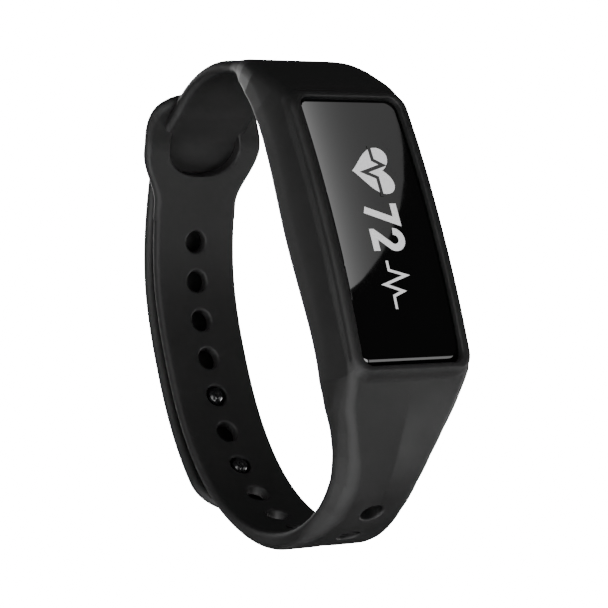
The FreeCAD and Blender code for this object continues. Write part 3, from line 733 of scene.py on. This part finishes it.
sensorDark = mouldedFinish("sensorDark", (0.03, 0.02, 0.03), (0.05, 0.035, 0.05), 0.12, 0.2)
windowGlass = mouldedFinish("windowGlass", (0.008, 0.008, 0.01), (0.014, 0.014, 0.018), 0.06, 0.1)
boardGreen = boardFinish("boardGreen", (0.008, 0.05, 0.025), (0.03, 0.14, 0.07))
boardBlue = boardFinish("boardBlue", (0.008, 0.02, 0.06), (0.03, 0.07, 0.16))

finishesByNode = {
    "peg_clasp": pegGloss, "pod_case": caseBlack, "back_cover": coverBlack, "cover_seal": sealRubber,
    "cover_screws": screwSteel, "lens_gasket": sealRubber, "touch_film": filmClear,
    "display_panel": panelDark,
    "panel_foam": foamGrey, "display_flex": flexAmber, "main_board": boardGreen, "processor": chipEpoxy,
    "memory_chip": chipEpoxy, "motion_sensor": chipEpoxy, "crystal": screwSteel, "chip_antenna": ceramicWhite,
    "power_chip": chipEpoxy, "battery_pouch": pouchSilver, "battery_tape": tapeCream,
    "protection_board": boardBlue, "battery_tabs": screwSteel, "motor_base": boardBlue,
    "motor_case": screwSteel,
    "motor_shaft": screwSteel, "motor_coils": copperWire, "motor_weight": screwSteel,
    "sensor_window": windowGlass, "sensor_board": boardGreen, "pulse_lights": lightGreen,
    "light_sensor": sensorDark, "light_barrier": caseBlack, "sensor_flex": flexAmber,
    "charge_pads": contactGold, "charge_pins": contactGold,
}
for node, material in finishesByNode.items():
    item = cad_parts[node]
    item.data.materials.clear()
    item.data.materials.append(material)
print("carried pieces finished:", len(finishesByNode))

# Floor, backdrop light and lamps.
studio = {"paperGlow": 18.0, "sky": 18.0, "fill": 0.06}
floorMesh = bpy.data.meshes.new("floor")
builtFloor = bmesh.new()
bmesh.ops.create_grid(builtFloor, x_segments=8, y_segments=8, size=40)
builtFloor.to_mesh(floorMesh)
builtFloor.free()
floor = bpy.data.objects.new("floor", floorMesh)
bpy.context.scene.collection.objects.link(floor)
floor.location.z = cadBox[0].z - 0.0002
paper, paperShader = finishOf("paperWhite", Roughness=0.9, Specular_IOR_Level=0.1)[:2]
paperShader.inputs["Base Color"].default_value = (0.85, 0.85, 0.85, 1)
paperShader.inputs["Emission Color"].default_value = (1, 1, 1, 1)
paperShader.inputs["Emission Strength"].default_value = studio["paperGlow"]
floorMesh.materials.append(paper)
floor.visible_diffuse = False   # the paper stays bright without lighting the band
floor.visible_glossy = False

world = bpy.data.worlds.new("studio")
bpy.context.scene.world = world
world.use_nodes = True
skyNodes, skyLinks = world.node_tree.nodes, world.node_tree.links
sky = skyNodes["Background"]
path = skyNodes.new("ShaderNodeLightPath")
tone = skyNodes.new("ShaderNodeMapRange")
tone.inputs["To Min"].default_value = studio["fill"]
tone.inputs["To Max"].default_value = studio["sky"]
skyLinks.new(path.outputs["Is Camera Ray"], tone.inputs["Value"])
skyLinks.new(tone.outputs["Result"], sky.inputs["Strength"])
sky.inputs["Color"].default_value = (1, 1, 1, 1)


def softbox(name, at, aim, wide, tall, power):
    lamp = bpy.data.lights.new(name, "AREA")
    lamp.shape = "RECTANGLE"
    lamp.size, lamp.size_y = wide, tall
    lamp.energy = power
    item = bpy.data.objects.new(name, lamp)
    bpy.context.scene.collection.objects.link(item)
    item.location = at
    item.rotation_mode = "QUATERNION"
    item.rotation_quaternion = (Vector(aim) - Vector(at)).to_track_quat("-Z", "Y")
    return item


# Camera at the chosen viewing angle.
shot = {"turn": 57.62, "rise": 3.35, "roll": 0.28, "far": 0.3625, "aim": (0.00226, 0.00387, -0.00024),
        "lens": 141.9}
turn, rise = math.radians(shot["turn"]), math.radians(shot["rise"])
toCamera = Vector((math.sin(turn) * math.cos(rise), -math.cos(turn) * math.cos(rise), math.sin(rise)))
cameraAt = Vector(shot["aim"]) + toCamera * shot["far"]
lensOf = bpy.data.cameras.new("camera")
lensOf.lens = shot["lens"]
lensOf.sensor_width = 36
lensOf.clip_start = 0.01
camera = bpy.data.objects.new("camera", lensOf)
bpy.context.scene.collection.objects.link(camera)
camera.location = cameraAt
camera.rotation_mode = "QUATERNION"
roll = Quaternion(toCamera, math.radians(shot["roll"]))
camera.rotation_quaternion = roll @ (-toCamera).to_track_quat("-Z", "Y")
bpy.context.scene.camera = camera

softbox("frontBox", (0.7, -0.05, -0.14), (0, 0, 0), 0.4, 0.3, 4.0)
softbox("nearBox", (0.12, -0.3, -0.03), (0.03, 0, 0), 0.16, 0.3, 0.8)
softbox("footBox", (0.42, 0.28, -0.06), (0.03, 0, 0), 0.24, 0.2, 0.55)
softbox("lowBox", (0.22, -0.2, -0.36), (0.02, 0, -0.02), 0.3, 0.3, 1.9)
softbox("farBox", (0.15, 0.45, -0.2), (0.02, 0, -0.02), 0.2, 0.3, 2.4)
softbox("rearBox", (-0.6, 0.0, -0.02), (0, 0, 0), 0.25, 0.25, 3.2)

# A cut card of light above the display: its reflection lies on the glass and ends along a curved edge.
card = {
    "far": 0.25, "bright": 4.4, "dim": 0.95, "fadeOver": 2.8, "leftmost": -14.0, "rows": 40, "columns": 24,
    "edge": [(-12.0, -12.6), (-8.1, -10.6), (-6.0, -9.45), (-3.8, -7.6), (-1.15, -5.2), (1.15, -2.1),
             (3.7, 1.6), (5.7, 6.0), (7.2, 11.0), (7.8, 14.4), (8.0, 18.5), (7.9, 22.0)],
}


# the point above the display that a place on the glass shows to the camera, and the way there
def reflected(across, up):
    depth = glassFace(up)
    lean = 2 * glass["bow"] * (up - fit["podMid"]) / glass["long"] ** 2
    start, ahead = [Vector(v) for v in toFrame([(depth, across, up), (depth + 1, across, up + lean)])]
    facing = (ahead - start).normalized()
    sight = (start - cameraAt).normalized()
    return start, sight - 2 * sight.dot(facing) * facing


middle, cardWay = reflected(0, 2)
cardMiddle = middle + cardWay * card["far"]
cardTurn = cardWay.to_track_quat("Z", "Y")
edgeAcross, edgeUp = np.array(card["edge"]).T
cardPoints, cardShine, cardFaces = [], [], []
for row, up in enumerate(np.linspace(edgeUp[0], edgeUp[-1], card["rows"])):
    limit = np.interp(up, edgeUp, edgeAcross)
    for column, across in enumerate(np.linspace(card["leftmost"], limit, card["columns"])):
        start, way = reflected(across, up)
        span = (cardMiddle - start).dot(cardWay) / way.dot(cardWay)
        cardPoints.append(cardTurn.inverted() @ (start + way * span - cardMiddle))
        inward = max(across + glass["half"], 0) / card["fadeOver"]
        cardShine.append(card["dim"] + (card["bright"] - card["dim"]) * math.exp(-inward))
        if row and column:
            corner = row * card["columns"] + column
            cardFaces.append((corner, corner - 1, corner - 1 - card["columns"], corner - card["columns"]))
cardMesh = bpy.data.meshes.new("glowCard")
cardMesh.from_pydata(cardPoints, [], cardFaces)
cardMesh.attributes.new("shine", "FLOAT", "POINT").data.foreach_set("value", cardShine)
glowCard = bpy.data.objects.new("glowCard", cardMesh)
bpy.context.scene.collection.objects.link(glowCard)
glowCard.location = cardMiddle
glowCard.rotation_mode = "QUATERNION"
glowCard.rotation_quaternion = cardTurn
glowCard.visible_camera = False
glowCard.visible_diffuse = False
glowCard.visible_shadow = False
cardGlow, cardShader, cardNodes, cardLinks = finishOf("cardGlow", Roughness=1.0)
cardShader.inputs["Base Color"].default_value = (0, 0, 0, 1)
cardShader.inputs["Emission Color"].default_value = (1, 1, 1, 1)
shine = cardNodes.new("ShaderNodeAttribute")
shine.attribute_name = "shine"
cardLinks.new(shine.outputs["Fac"], cardShader.inputs["Emission Strength"])
cardMesh.materials.append(cardGlow)
print("studio ready")
